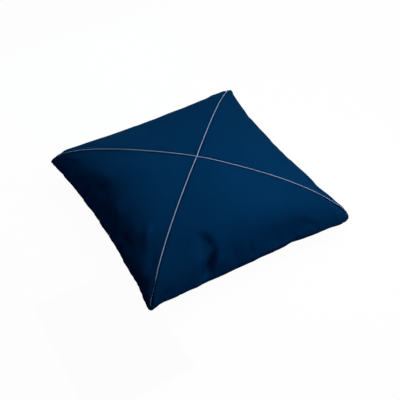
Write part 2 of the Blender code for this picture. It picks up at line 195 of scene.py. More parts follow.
# Folds of the front panels, in millimetres: along the side from its middle, and up the
# cloth from the seam. A negative depth is a ridge. Deepest is the share of the fold's length
# where it is deepest, bow is how far its middle lies off the straight line, and slack widens
# the right hand wall of the fold, seen from its start.
Fold = namedtuple(
    "Fold",
    "side from_along from_reach to_along to_reach bow deepest depth width slack",
    defaults=(1,),
)
FOLDS = (
    # The deep bent crease of the front, from the near left diagonal down to the seam.
    Fold("front", -155, 114, -90, 50, -5, 0.60, 10.0, 9, 3.0),
    Fold("front", -87, 76, -116, -14, 1, 0.56, 15.0, 8.0, 2.4),
    Fold("front", -86, 62, -114, -7, 0, 0.64, 7.0, 5),
    Fold("front", -116, 26, -122, -6, 0, 0.60, 3.6, 7),
    Fold("front", -84, 4, -80, 50, 0, 0.45, -1.2, 8),
    Fold("front", -132, 78, -114, 52, 0, 0.50, 1.8, 10),
    # Short pulls and ridges up from the front seam, and soft hollows above them.
    Fold("front", -52, 4, -42, 60, 0, 0.40, 3.0, 11),
    Fold("front", -8, -4, -5, 64, 0, 0.30, 2.6, 6),
    Fold("front", -30, 32, 140, 20, 0, 0.50, 5.2, 24),
    Fold("front", -62, -8, -58, 16, 0, 0.50, -1.4, 6),
    Fold("front", 46, -8, 49, 18, 0, 0.50, -1.4, 6),
    Fold("front", 58, -4, 64, 30, 0, 0.40, 1.6, 6),
    Fold("front", 110, -8, 114, 16, 0, 0.50, -1.2, 6),
    Fold("front", 98, 20, 162, 32, 0, 0.60, 5.5, 18),
    Fold("front", 138, 0, 146, 24, 0, 0.50, -1.6, 6),
    Fold("front", 218, -2, 227, 32, 0, 0.35, 2.6, 8),
    # By the near left corner.
    Fold("front", -176, 40, -190, 160, 0, 0.45, 1.2, 22),
    Fold("front", -236, 10, -184, 20, 0, 0.50, 2.8, 9),
    # The left panel's long hollows, and short pulls and ridges up from its seam.
    Fold("left", -252, 40, -140, 34, 0, 0.45, 3.0, 26),
    Fold("left", -132, 48, -12, 60, 0, 0.70, 3.7, 15),
    Fold("left", -136, 92, -16, 90, 0, 0.60, -1.6, 15),
    Fold("left", 2, 66, 76, 62, 0, 0.50, -2.8, 13),
    Fold("left", -84, -4, -84, 56, 0, 0.45, 4.6, 8),
    Fold("left", -104, 0, -101, 36, 0, 0.45, -3.8, 7),
    Fold("left", -130, -4, -116, 24, 0, 0.40, 2.6, 7),
    Fold("left", -152, 4, -150, 32, 0, 0.50, -3.0, 8),
    Fold("left", -62, 2, -68, 32, 0, 0.50, -2.6, 7),
    # The slack cloth of the left panel by the near left corner.
    Fold("left", 50, 46, 208, 60, 0, 0.62, 6.4, 23, 2.2),
    Fold("left", 254, 64, 156, 14, 0, 0.35, -5.2, 17, 1.7),
    Fold("left", 236, 116, 206, -8, 0, 0.55, 7.0, 14, 2.0),
    Fold("left", 70, 28, 150, 42, 0, 0.45, 4.6, 15),
    Fold("left", 74, 2, 94, 32, 0, 0.50, -3.2, 8),
    Fold("left", 96, 78, 156, 98, 0, 0.65, 2.2, 13, 1.4),
    Fold("left", 165, 74, 172, 130, 0, 0.45, -3.6, 11),
    # A hollow by the near right corner, and faint folds up the right and back panels.
    Fold("right", -152, 64, -240, 54, 0, 0.52, 8.0, 19),
    Fold("right", -70, 20, -116, 112, 0, 0.65, -2.2, 9),
    Fold("right", -36, 20, -72, 104, 0, 0.65, -1.8, 9),
    Fold("right", 8, 4, 2, 100, 0, 0.60, 2.4, 13),
    Fold("right", 126, 4, 132, 96, 0, 0.55, 2.4, 13),
    Fold("right", 148, 4, 154, 84, 0, 0.55, -1.6, 11),
    Fold("back", -194, 4, -204, 104, 0, 0.60, -2.2, 13),
    Fold("back", -176, 4, -172, 88, 0, 0.60, 2.0, 11),
    Fold("back", -48, 8, -30, 112, 0, 0.60, -2.4, 14),
    Fold("back", 24, 8, 40, 100, 0, 0.60, 2.2, 12),
    Fold("back", 208, 20, 224, 130, 0, 0.60, 2.4, 11),
)

# Small gathers of the perimeter seam, drawn in by the stitches at uneven distances.
GATHER_SEED = 11
GATHER_PITCH = (10 * MM, 24 * MM)
GATHER_REACH = (12 * MM, 42 * MM)
GATHER_WIDTH = (3.0 * MM, 6.5 * MM)
GATHER_DEPTH = (0.4 * MM, 1.7 * MM)
GATHER_LEAN = 0.30
GATHER_WIDENING = 0.8
GATHER_FADE = 1.6

# Slow unevenness of the filling under the cloth, which begins a little way from the seam.
LUMP_SEED = 5
LUMP_WAVES = 26
LUMP_LENGTH = (45 * MM, 170 * MM)
LUMP_HEIGHT = 0.55 * MM
LUMPS_START = 30 * MM

# Camera, set up from the photograph, whose frame is 400 pixels wide.
SENSOR_WIDTH = 36.0
FRAME_PIXELS = 400
FOCAL_PIXELS = 696.5
CAMERA_AZIMUTH = -30.575
CAMERA_ELEVATION = 45.307
CAMERA_DISTANCE = 1.5327
CAMERA_AIM = Vector((-0.0154, -0.0413, 0.0461))


def eased(share):
    """0 to 1 with soft ends."""
    share = np.clip(share, 0, 1)
    return share * share * (3 - 2 * share)


def bell(distance, width):
    """1 in the middle, fading over about a width."""
    return np.exp(-((distance / width) ** 2))


# The cover's form.


def outline(side_number, t):
    """The seam's square place, shift, nicks, sway and lift, at t from -1 to 1 along a side."""
    side = SIDES[side_number]
    starts = CORNERS[side_number]
    ends = CORNERS[(side_number + 1) % len(CORNERS)]
    outward = np.array(side.outward, float)
    along = np.array((-outward[1], outward[0]))
    corner_radius = np.where(t < 0, starts.radius, ends.radius)
    into_corner = np.abs(t) * HALF_SIDE - (HALF_SIDE - corner_radius)
    turn = np.clip(into_corner / corner_radius, 0, 1) * np.pi / 4
    rounded = into_corner > 0
    back_off = np.where(rounded, corner_radius * (1 - np.cos(turn)), 0)
    slide = np.where(rounded, corner_radius * np.sin(turn) - into_corner, 0)
    inward = back_off + side.draw_in * (1 - t ** 2)
    square = outward + along * t[:, None]
    shift = along * (np.sign(t) * slide)[:, None] - outward * inward[:, None]
    towards_end = (t + 1) / 2
    lift = side.lift * (1 - t ** 2)
    lift += starts.lift * (1 - towards_end) ** 3 + ends.lift * towards_end ** 3
    sway = np.zeros_like(square)
    for corner, from_corner, sideways in (
        (starts, (1 + t) * HALF_SIDE, along + outward),
        (ends, (1 - t) * HALF_SIDE, along - outward),
    ):
        close = bell(from_corner, corner.reach)
        shift += close[:, None] * np.array((corner.push_x, corner.push_y))
        lift += corner.tip_lift * close
        nearby = bell(from_corner, SWAY_WIDTH)
        sway += corner.sway * nearby[:, None] * sideways / np.sqrt(2)
    drawn = -side.let_out * (1 - t ** LET_OUT_POWER)
    for nick in NICKS:
        if nick.side == side.name:
            drawn += nick.depth * MM * bell(t * HALF_SIDE / MM - nick.along, nick.width)
    return square, shift, -outward * drawn[:, None], sway, lift


def front_rise(u, v, swell):
    """Height of the front above the seam at a place on the square."""
    far = np.maximum(np.abs(u), np.abs(v))
    near = np.minimum(np.abs(u), np.abs(v))
    across = near / np.maximum(far, 1e-9)
    size = far ** SQUARENESS + near ** SQUARENESS - (far * near) ** SQUARENESS
    size = np.clip(size, 0, 1) ** (1 / SQUARENESS)
    by_corner = across ** CORNER_SPREAD
    crown_power = CROWN_POWER + (CORNER_CROWN_POWER - CROWN_POWER) * by_corner
    power = SIDE_POWER + (CORNER_POWER - SIDE_POWER) * by_corner
    rise = CROWN * (1 - size ** crown_power) ** power
    return rise + 4 * swell * far ** 2 * (1 - far ** 2) * (1 - across ** 2) ** 2


def back_drop(u, v):
    """Depth of the back below the seam, level where it rests on the surface."""
    fullness = np.sqrt((1 - u ** 2) * (1 - v ** 2))
    short_of_rest = 1 - np.clip(fullness / REST_SHARE, 0, 1)
    return (SEAM_HEIGHT + REST_PRESS) * (1 - short_of_rest ** 2)


def open_columns(side):
    """Places of a side's columns between its two channels, from -1 to 1."""
    even = np.linspace(-1, 1, CROWDING_STEPS)
    crowd = side.crowding * bell(even * HALF_SIDE - side.fold_at, side.fold_spread)
    counted = np.cumsum(1 + crowd)
    counted = (counted - counted[0]) / (counted[-1] - counted[0])
    return np.interp(np.linspace(0, 1, side.columns), counted, even)


def ring_columns(radius):
    """t of each column of each side on one ring, from its first corner to short of its last."""
    half = HALF_SIDE * radius
    steps = np.arange(len(CHANNEL_COLUMNS)) / len(CHANNEL_COLUMNS)
    beside = np.minimum(CHANNEL_COLUMNS * np.sqrt(2) / half, CROWDED_SHARE * steps)
    open_to = 1 - min(OPEN_PANEL_FROM * np.sqrt(2) / half, CROWDED_SHARE)
    sides = [(beside - 1, open_columns(side) * open_to, 1 - beside[:0:-1]) for side in SIDES]
    return np.concatenate([part for parts in sides for part in parts])


def panel_numbers():
    """Number of the panel that each column of a ring belongs to."""
    beside = 2 * len(CHANNEL_COLUMNS) - 1
    return np.repeat(np.arange(len(SIDES)), [side.columns + beside for side in SIDES])


def veered(panel_t, radius):
    """Side number and t of one ring's columns, once the corners have slid along the rim."""
    count = len(SIDES)
    place = panel_numbers() + (panel_t + 1) / 2
    moved = np.zeros_like(place)
    far_out = eased((radius - VEER_FROM) / (1 - VEER_FROM))
    for number, corner in enumerate(CORNERS):
        sides_away = (place - number + count / 2) % count - count / 2
        slid = corner.veer * far_out * bell(sides_away * 2 * HALF_SIDE, VEER_WIDTH)
        moved += slid / (2 * HALF_SIDE)
    place = (place + moved) % count
    return np.floor(place).astype(int), 2 * (place % 1) - 1


def ring_points(radius, sides, t, is_front):
    """One ring's points, at the places given by side number and t."""
    points = np.zeros((len(t), 3))
    for number, side in enumerate(SIDES):
        here = sides == number
        square, shift, nicks, sway, lift = outline(number, t[here])
        plan = square * HALF_SIDE * radius + CROWN_SHIFT * (1 - radius ** 2) ** 2
        plan += sway * 4 * radius * (1 - radius)
        plan += shift * radius ** SHIFT_FADE + nicks * radius ** NICK_FADE
        u, v = (square * radius).T
        rise = front_rise(u, v, side.swell) if is_front else -back_drop(u, v)
        points[here] = np.column_stack((plan, SEAM_HEIGHT + lift * radius ** LIFT_FADE + rise))
    return points


def cover_grid():
    """All rings from the crown out to the seam and in under the back, unpressed."""
    out = 1 - (1 - np.arange(1, FRONT_RINGS + 1) / FRONT_RINGS) ** RING_CROWDING
    back_in = 1 - (np.arange(1, BACK_RINGS) / BACK_RINGS) ** RING_CROWDING
    radii = np.concatenate((out, back_in))
    panel_places = np.array([ring_columns(radius) for radius in radii])
    rows, sides, places = [], [], []
    for ring, radius in enumerate(radii):
        side_numbers, t = veered(panel_places[ring], radius)
        rows.append(ring_points(radius, side_numbers, t, ring < FRONT_RINGS))
        sides.append(side_numbers)
        places.append(t)
    rows = np.array(rows)
    rows[:, :, 2] = np.maximum(rows[:, :, 2], 0)
    return rows, np.array(sides), np.array(places), panel_places, radii


def grid_normals(rows):
    """Outward direction at each point of the rings."""
    around = np.roll(rows, -1, axis=1) - np.roll(rows, 1, axis=1)
    outwards = np.gradient(rows, axis=0)
    normals = np.cross(outwards, around)
    return normals / np.linalg.norm(normals, axis=2, keepdims=True)


def reach_from_seam(rows):
    """Distance over the cloth from the seam, along each column, on the front and the back."""
    steps = np.linalg.norm(np.diff(rows, axis=0), axis=2)
    walked = np.concatenate((np.zeros((1, rows.shape[1])), np.cumsum(steps, axis=0)))
    return np.abs(walked - walked[FRONT_RINGS - 1])


def from_diagonal(panel_t, radii):
    """Distance of each column from its diagonal seam."""
    return (1 - np.abs(panel_t)) * HALF_SIDE * radii[:, None] / np.sqrt(2)


def from_crown(points):
    """Distance of each point from the crown, seen from above."""
    return np.linalg.norm(points[..., :2] - CROWN_SHIFT, axis=-1)


def fold_depth(fold, along, reach):
    """Depth of one fold at places given along the side and up from the seam."""
    run = np.array((fold.to_along - fold.from_along, fold.to_reach - fold.from_reach)) * MM
    length = np.hypot(*run)
    way = run / length
    over = along - fold.from_along * MM
    up = reach - fold.from_reach * MM
    share = (over * way[0] + up * way[1]) / length
    on_line = np.clip(share, 0, 1)
    across = over * way[1] - up * way[0]
    across = across - 4 * fold.bow * MM * on_line * (1 - on_line)
    width = np.where(across > 0, fold.width * fold.slack, fold.width) * MM
    strength = eased(np.minimum(share / fold.deepest, (1 - share) / (1 - fold.deepest)))
    return fold.depth * MM * strength * bell(across, width)


def gathers_depth(along, reach, is_front, rng):
    """Depth of one side's row of seam gathers. Front and back share each gather's foot."""
    depth = np.zeros_like(reach)
    foot = -HALF_SIDE + rng.uniform(*GATHER_PITCH)
    while foot < HALF_SIDE:
        width = rng.uniform(*GATHER_WIDTH)
        deep = rng.uniform(*GATHER_DEPTH)
        for surface in (is_front, ~is_front):
            length = rng.uniform(*GATHER_REACH)
            lean = rng.uniform(-GATHER_LEAN, GATHER_LEAN)
            widening = width * (1 + GATHER_WIDENING * reach / length)
            fading = np.clip(1 - reach / length, 0, 1) ** GATHER_FADE
            gather = deep * fading * bell(along - foot - lean * reach, widening)
            depth += np.where(surface, gather, 0)
        foot += rng.uniform(*GATHER_PITCH)
    return depth


def folds_depth(sides, along, reach, is_front):
    """Depth of the folds of the front panels and of all the gathers of the seam."""
    rng = np.random.default_rng(GATHER_SEED)
    depth = np.zeros_like(reach)
    for number, side in enumerate(SIDES):
        here = sides == number
        for fold in FOLDS:
            if fold.side == side.name:
                depth += np.where(here & is_front, fold_depth(fold, along, reach), 0)
        depth += np.where(here, gathers_depth(along, reach, is_front, rng), 0)
    return depth


def filling_lumps(points):
    """Slow rises and hollows of the filling, as a sum of long waves in all directions."""
    rng = np.random.default_rng(LUMP_SEED)
    lumps = np.zeros(points.shape[:2])
    for _ in range(LUMP_WAVES):
        way = rng.normal(size=3)
        way /= np.linalg.norm(way)
        length = rng.uniform(*LUMP_LENGTH)
        phase = rng.uniform(0, 2 * np.pi)
        lumps += np.sin(points @ way * (2 * np.pi / length) + phase) * length
    return LUMP_HEIGHT * lumps / (np.sqrt(LUMP_WAVES / 2) * np.mean(LUMP_LENGTH))


def edge_depth(height, reach):
    """How far the filled body stays inside the flattened edge of the seam, clear of the rest."""
    depth = EDGE_DEPTH * (1 - np.exp(-reach / EDGE_REACH)) * np.exp(-reach / EDGE_FADE)
    return depth * eased(height / (SEAM_HEIGHT / 2))


def sunk_depth(sink, reach):
    """How much deeper a diagonal seam lies as it comes near its corner."""
    going_down = eased((SINK_FROM - reach) / (SINK_FROM - SINK_TO))
    return sink * going_down * (1 - SINK_RISE * (1 - eased(reach / SINK_TO)))


def crossing_dip(points):
    """How much deeper the two diagonal seams lie where they cross."""
    return CROSSING_DIP * bell(from_crown(points), CROSSING_REACH)


def channel_depth(off_diagonal, panel_t, reach):
    """Depth of the sewn channels. They widen towards the corners, but not where they sink."""
    sinks = np.array([corner.sink for corner in CORNERS])
    own_sink = sinks[(panel_numbers() + (panel_t > 0)) % len(CORNERS)]
    deeper = sunk_depth(own_sink, reach)
    not_sunk = 1 - deeper / max(sinks.max(), MM)
    flare = CHANNEL_FLARE * (1 - eased(reach / FLARE_REACH)) * not_sunk
    channel = (CHANNEL_DEPTH + deeper) * bell(off_diagonal, CHANNEL_WIDTH * (1 + flare))
    return channel * eased(reach / CHANNEL_START)


def pressed_depth(rows, sides, t, panel_t, radii):
    """How far each point of the cover is pressed in."""
    reach = reach_from_seam(rows)
    off_diagonal = from_diagonal(panel_t, radii)
    is_front = np.broadcast_to((np.arange(len(radii)) < FRONT_RINGS)[:, None], reach.shape)
    depth = folds_depth(sides, t * HALF_SIDE, reach, is_front)
    depth *= eased(off_diagonal / (2 * OPEN_PANEL_FROM))
    at_rest = ~is_front & (rows[:, :, 2] < SEAM_HEIGHT / 2)
    depth -= np.where(at_rest, 0, filling_lumps(rows) * eased(reach / LUMPS_START))
    depth += np.where(is_front, channel_depth(off_diagonal, panel_t, reach), 0)
    depth += np.where(is_front, crossing_dip(rows), 0)
    return depth + edge_depth(rows[:, :, 2], reach)


# The cover's mesh.


def cloth_places(rows):
    """Places on the flat panels of each column and of the next one, in metres: along, and in."""
    outward = np.array([side.outward for side in SIDES], float)[panel_numbers()]
    along = np.stack((-outward[:, 1], outward[:, 0]), axis=1)
    reach = reach_from_seam(rows)
    following = np.roll(rows, -1, axis=1)
    own_along = (rows[:, :, :2] * along).sum(axis=2)
    next_along = (following[:, :, :2] * along).sum(axis=2)
    own = np.stack((own_along, reach), axis=2)
    return own, np.stack((next_along, np.roll(reach, -1, axis=1)), axis=2)


def seam_places(rows, panel_t, radii):
    """Distances from the diagonal seam and from the crown, of each column and the next one."""
    off = from_diagonal(panel_t, radii)
    # The back has no diagonal seam.
    off[FRONT_RINGS:] = HALF_SIDE
    own = np.stack((off, from_crown(rows)), axis=2)
    return own, np.roll(own, -1, axis=1)


def add_places(mesh, name, own, next_on):
    """A UV map of places in metres, corner by corner in the order of the cover's faces."""
    middle_top = own[0] * (0, 1)
    middle_rest = own[-1] * (0, 1)
    places = (
        np.stack((own[:-1], own[1:], next_on[1:], next_on[:-1]), axis=2),
        np.stack((middle_top, own[0], next_on[0]), axis=1),
        np.stack((own[-1], middle_rest, next_on[-1]), axis=1),
    )
    layer = mesh.uv_layers.new(name=name)
    flat = np.concatenate([place.reshape(-1, 2) for place in places])
    layer.uv.foreach_set("vector", flat.astype(np.float32).ravel())


def rings_of(count, size, first):
    """For each ring, the numbers of its points, and of each one's next point round the ring."""
    starts = first + size * np.arange(count)
    return [(start + np.arange(size), start + np.roll(np.arange(size), -1)) for start in starts]


def cover_mesh(crown, rows, rest):
    """The closed cover's mesh."""
    points = np.concatenate((crown[None], rows.reshape(-1, 3), rest[None]))
    rings = rings_of(len(rows), rows.shape[1], 1)
    faces = []
    for (own, following), (below, below_next) in zip(rings, rings[1:]):
        faces += np.stack((own, below, below_next, following), axis=1).tolist()
    own, following = rings[0]
    faces += np.stack((np.zeros_like(own), own, following), axis=1).tolist()
    own, following = rings[-1]
    faces += np.stack((own, np.full_like(own, len(points) - 1), following), axis=1).tolist()
    mesh = bpy.data.meshes.new("cushion_cover")
    mesh.from_pydata(points.tolist(), [], faces)
    mesh.shade_smooth()
    return mesh


def add_piece(name, mesh, finish):
    """Puts a finished piece in the scene, on the cushion's one body."""
    piece = bpy.data.objects.new(name, mesh)
    bpy.context.scene.collection.objects.link(piece)
    mesh.materials.append(finish)
    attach(piece, "root")
    return piece


# The piping.


def even_path(points, step):
    """The same line with its points a step apart."""
    walked = np.concatenate(([0], np.cumsum(np.linalg.norm(np.diff(points, axis=0), axis=1))))
    stops = np.linspace(0, walked[-1], max(2, int(round(walked[-1] / step)) + 1))
    return np.stack([np.interp(stops, walked, points[:, axis]) for axis in range(3)], axis=1)


def smoothed(points, passes):
    """The same line with its small bends eased, and its ends kept."""
    points = points.copy()
    for _ in range(passes):
        points[1:-1] = (points[:-2] + 2 * points[1:-1] + points[2:]) / 4
    return points


def arm_of(rows, normals, column, sink):
    """Path of the piping down one diagonal, from near the crown into the seam's corner."""
    line = rows[:FRONT_RINGS, column]
    away = normals[:FRONT_RINGS, column]
    to_go = np.linalg.norm(np.diff(line, axis=0), axis=1)[::-1].cumsum()[::-1]
    to_go = np.append(to_go, 0)
    tuck = TUCK_DEPTH * eased(1 - to_go / TUCK_LENGTH)
    inside = PIPING_SINK + tuck + crossing_dip(line) + sunk_depth(sink, to_go)
    inside += edge_depth(line[:, 2], to_go)
    return line - away * inside[:, None]


def piping_paths(rows, normals, top, to_middle):
    """Each length of piping: its name, its path, and whether it starts with a blunt end."""
    first_columns = np.searchsorted(panel_numbers(), np.arange(len(SIDES)))
    near_left, near_right, far_right, far_left = [
        arm_of(rows, normals, column, corner.sink) - to_middle
        for column, corner in zip(first_columns, CORNERS)
    ]
    top_seat = top - np.array((0, 0, PIPING_SINK + CROSSING_DIP)) - to_middle
    long_path = np.concatenate((far_right[::-1], top_seat[None], near_left))
    paths = [("piping_long", long_path, False)]
    for name, arm in (("piping_half_left", far_left), ("piping_half_right", near_right)):
        clearance = (PIPING_RADIUS * HALF_PIPING_FROM) / np.linalg.norm(arm[0] - top_seat)
        start = top_seat + (arm[0] - top_seat) * clearance
        paths.append((name, np.concatenate((start[None], arm)), True))
    return paths


def piping_radii(walked, angle, blunt_start):
    """Radius of the piping at each step and angle. It thins where it is tucked in."""
    thin = PIPING_TIP + (1 - PIPING_TIP) * eased((walked[-1] - walked) / TUCK_LENGTH)
    if not blunt_start:
        thin *= PIPING_TIP + (1 - PIPING_TIP) * eased(walked / TUCK_LENGTH)
    ridge_turn = walked[:, None] * (2 * np.pi / RIDGE_PITCH)
    ripple_turn = walked[:, None] * (2 * np.pi / RIPPLE_PITCH)
    relief = 1 + RIDGE_HEIGHT * np.sin(angle + ridge_turn)
    relief += RIPPLE_HEIGHT * np.sin(2 * angle - ripple_turn)
    return PIPING_RADIUS * thin[:, None] * relief


def piping_places(walked, angle):
    """Places on the piping's cover, corner by corner in the order of its side faces."""
    girth = 2 * np.pi * PIPING_RADIUS
    around = angle / (2 * np.pi) * girth
    step_on = around + girth / PIPING_SIDES
    places = []
    for here, beyond in zip(walked, walked[1:]):
        corners = ((around, here), (step_on, here), (step_on, beyond), (around, beyond))
        corners = [np.stack((over, np.full_like(over, on)), axis=1) for over, on in corners]
        places.append(np.stack(corners, axis=1).reshape(-1, 2))
    return np.concatenate(places)


def piping_mesh(name, path, blunt_start):
    """A round cord with the fine slanting tension ridges of its bias-cut cover."""
    path = smoothed(even_path(path, PIPING_STEP), PIPING_SMOOTHING)
    tangent = np.gradient(path, axis=0)
    tangent /= np.linalg.norm(tangent, axis=1, keepdims=True)
    up = np.array((0, 0, 1.0)) - tangent * tangent[:, 2:3]
    up /= np.linalg.norm(up, axis=1, keepdims=True)
    aside = np.cross(up, tangent)
    walked = np.arange(len(path)) * PIPING_STEP
    angle = np.arange(PIPING_SIDES) / PIPING_SIDES * 2 * np.pi
    offset = aside[:, None] * np.cos(angle)[:, None] + up[:, None] * np.sin(angle)[:, None]
    points = path[:, None] + offset * piping_radii(walked, angle, blunt_start)[:, :, None]
    rings = rings_of(len(path), PIPING_SIDES, 0)
    faces = []
    for (own, following), (beyond, beyond_next) in zip(rings, rings[1:]):
        faces += np.stack((own, following, beyond_next, beyond), axis=1).tolist()
    first_cap, last_cap = rings[0][0][::-1], rings[-1][0]
    faces += [first_cap.tolist(), last_cap.tolist()]
    mesh = bpy.data.meshes.new(name)
    mesh.from_pydata(points.reshape(-1, 3).tolist(), [], faces)
    caps = np.zeros((2 * PIPING_SIDES, 2))
    layer = mesh.uv_layers.new(name="ClothPlace")
    flat = np.concatenate((piping_places(walked, angle), caps))
    layer.uv.foreach_set("vector", flat.astype(np.float32).ravel())
    mesh.shade_smooth()
    return mesh


# Finishes. Colours are linear.

# The weave repeats after five threads, and each thread is two on from the last. The weft lies
# lower than the warp. Streaks are long and fine, along the warp.
SATEEN_ENDS = 5.0
SATEEN_STEP = 2.0
WEFT_HEIGHT = 0.55
STREAK_STRETCH = (0.45, 0.018, 1.0)

# How much finer the lint is than the patches, and which part of its noise shows. Then the
# share of the patches in the tone, the rest being streaks, the tones of the two shades, and
# how far the patches go to either side of the cloth's roughness.
LINT_FINENESS = 55.0
LINT_CUT = (0.70, 0.80)
PATCH_SHARE = 0.6
SHADE_ENDS = (0.30, 0.70)
ROUGHNESS_SPREAD = 0.06

NAVY_LOOK = {
    "shade_colour": (0.0003, 0.0312, 0.1050, 1),
    "light_colour": (0.0006, 0.0370, 0.1190, 1),
    "weft_colour": (0.0004, 0.0245, 0.0820, 1),
    "weft_share": 0.5,
    "lint_colour": (0.06, 0.10, 0.16, 1),
    "lint_share": 0.10,
    "grain_angle": 0.0,
    "threads": 1100.0,
    "patch_size": 0.07,
    "roughness": 0.68,
    "relief_strength": 0.35,
    "relief": 0.12 * MM,
    "slub": 0.8,
    "shine": 0.012,
    "shine_tint": (0.05, 0.40, 0.90, 1),
    "sheen": 0.02,
    "sheen_roughness": 0.45,
    "sheen_tint": (0.02, 0.30, 0.80, 1),
    # Painted shade beside the piped seams: its dark colour, and its strongest share in the cloth's
    # colour.
    "painted_crease_shade_colour": (0.0001, 0.0060, 0.0260, 1),
    "painted_crease_shade_share": 0.65,
    "pucker": 6.0,
}

MAUVE_LOOK = {
    "shade_colour": (0.300, 0.400, 0.670, 1),
    "light_colour": (0.380, 0.500, 0.800, 1),
    "weft_colour": (0.225, 0.305, 0.530, 1),
    "weft_share": 0.4,
    "lint_colour": (0.45, 0.45, 0.54, 1),
    "lint_share": 0.15,
    "grain_angle": math.radians(45),
    "threads": 1400.0,
    "patch_size": 0.05,
    "roughness": 0.62,
    "relief_strength": 0.5,
    "relief": 0.10 * MM,
    "slub": 0.3,
    "shine": 0.15,
    "shine_tint": (1, 1, 1, 1),
    "sheen": 0.08,
    "sheen_roughness": 0.4,
    "sheen_tint": (0.8, 0.7, 0.85, 1),
}


def named_group(name, inputs, outputs):
    """An empty node group with named sockets, and its input and output nodes."""
    group = bpy.data.node_groups.new(name, "ShaderNodeTree")
    for label, kind, value in inputs:
        socket = group.interface.new_socket(name=label, in_out="INPUT", socket_type=kind)
        if value is not None:
            socket.default_value = value
    for label, kind in outputs:
        group.interface.new_socket(name=label, in_out="OUTPUT", socket_type=kind)
    return group, group.nodes.new("NodeGroupInput"), group.nodes.new("NodeGroupOutput")


def feed(tree, value, socket):
    """Gives a socket a plain number, or links it to another node's output."""
    if isinstance(value, (int, float)):
        socket.default_value = value
    else:
        tree.links.new(value, socket)


def math_node(tree, operation, *values):
    node = tree.nodes.new("ShaderNodeMath")
    node.operation = operation
    for value, socket in zip(values, node.inputs):
        feed(tree, value, socket)
    return node.outputs[0]


def noise_node(tree, vector, scale, detail, roughness):
    node = tree.nodes.new("ShaderNodeTexNoise")
    node.inputs["Scale"].default_value = scale
    node.inputs["Detail"].default_value = detail
    node.inputs["Roughness"].default_value = roughness
    tree.links.new(vector, node.inputs["Vector"])
    return node.outputs[0]


def stretched(tree, vector, factors):
    """A vector with each part multiplied by its own fixed factor."""
    node = tree.nodes.new("ShaderNodeVectorMath")
    node.operation = "MULTIPLY"
    tree.links.new(vector, node.inputs[0])
    node.inputs[1].default_value = factors
    return node.outputs[0]


def scaled(tree, vector, factor):
    """A vector multiplied by another node's number."""
    node = tree.nodes.new("ShaderNodeVectorMath")
    node.operation = "SCALE"
    tree.links.new(vector, node.inputs[0])
    tree.links.new(factor, node.inputs["Scale"])
    return node.outputs[0]


def mixed_value(tree, share, first, second):
    node = tree.nodes.new("ShaderNodeMix")
    node.data_type = "FLOAT"
    for value, number in ((share, 0), (first, 2), (second, 3)):
        feed(tree, value, node.inputs[number])
    return node.outputs[0]


def tinted(tree, share, colour, tint):
    """A colour mixed with a fixed tint, by a share that changes over the surface."""
    node = tree.nodes.new("ShaderNodeMix")
    node.data_type = "RGBA"
    node.inputs["B"].default_value = tint
    tree.links.new(share, node.inputs["Factor"])
    tree.links.new(colour, node.inputs["A"])
    return node.outputs["Result"]


def thread_arch(tree, counted):
    """Rounded height of each thread, from a place counted in threads across them."""
    turned = math_node(tree, "MULTIPLY", counted, math.pi)
    return math_node(tree, "ABSOLUTE", math_node(tree, "SINE", turned))


def sateen_weave_group():
    """A five-end sateen: warp threads float over four wefts and dip under the fifth."""
    tree, given, out = named_group(
        "sateen_weave",
        (("Place", "NodeSocketVector", None), ("Threads per metre", "NodeSocketFloat", 1100.0)),
        [(label, "NodeSocketFloat") for label in ("Height", "Weft", "Streaks")],
    )
    counted = scaled(tree, given.outputs["Place"], given.outputs["Threads per metre"])
    parts = tree.nodes.new("ShaderNodeSeparateXYZ")
    tree.links.new(counted, parts.inputs[0])
    across, along = parts.outputs["X"], parts.outputs["Y"]
    stepped = math_node(tree, "MULTIPLY", math_node(tree, "FLOOR", across), SATEEN_STEP)
    crossing = math_node(tree, "ADD", stepped, math_node(tree, "FLOOR", along))
    turn = math_node(tree, "FLOORED_MODULO", crossing, SATEEN_ENDS)
    weft_shows = math_node(tree, "LESS_THAN", turn, 0.5)
    low_weft = math_node(tree, "MULTIPLY", thread_arch(tree, along), WEFT_HEIGHT)
    height = mixed_value(tree, weft_shows, thread_arch(tree, across), low_weft)
    streaked = stretched(tree, counted, STREAK_STRETCH)
    streaks = noise_node(tree, streaked, scale=1.0, detail=3.0, roughness=0.55)
    tree.links.new(height, out.inputs["Height"])
    tree.links.new(weft_shows, out.inputs["Weft"])
    tree.links.new(streaks, out.inputs["Streaks"])
    return tree


def soft_wear_group():
    """Slow shade changes of handled cloth, and a little lint, over the whole piece."""
    tree, given, out = named_group(
        "soft_wear",
        (("Position", "NodeSocketVector", None), ("Patch size", "NodeSocketFloat", 0.06)),
        (("Patches", "NodeSocketFloat"), ("Lint", "NodeSocketFloat")),
    )
    per_metre = math_node(tree, "DIVIDE", 1.0, given.outputs["Patch size"])
    counted = scaled(tree, given.outputs["Position"], per_metre)
    patches = noise_node(tree, counted, scale=1.0, detail=4.0, roughness=0.55)
    specks = noise_node(tree, counted, scale=LINT_FINENESS, detail=2.0, roughness=0.6)
    sharp = tree.nodes.new("ShaderNodeMapRange")
    sharp.inputs["From Min"].default_value = LINT_CUT[0]
    sharp.inputs["From Max"].default_value = LINT_CUT[1]
    tree.links.new(specks, sharp.inputs["Value"])
    tree.links.new(patches, out.inputs["Patches"])
    tree.links.new(sharp.outputs[0], out.inputs["Lint"])
    return tree


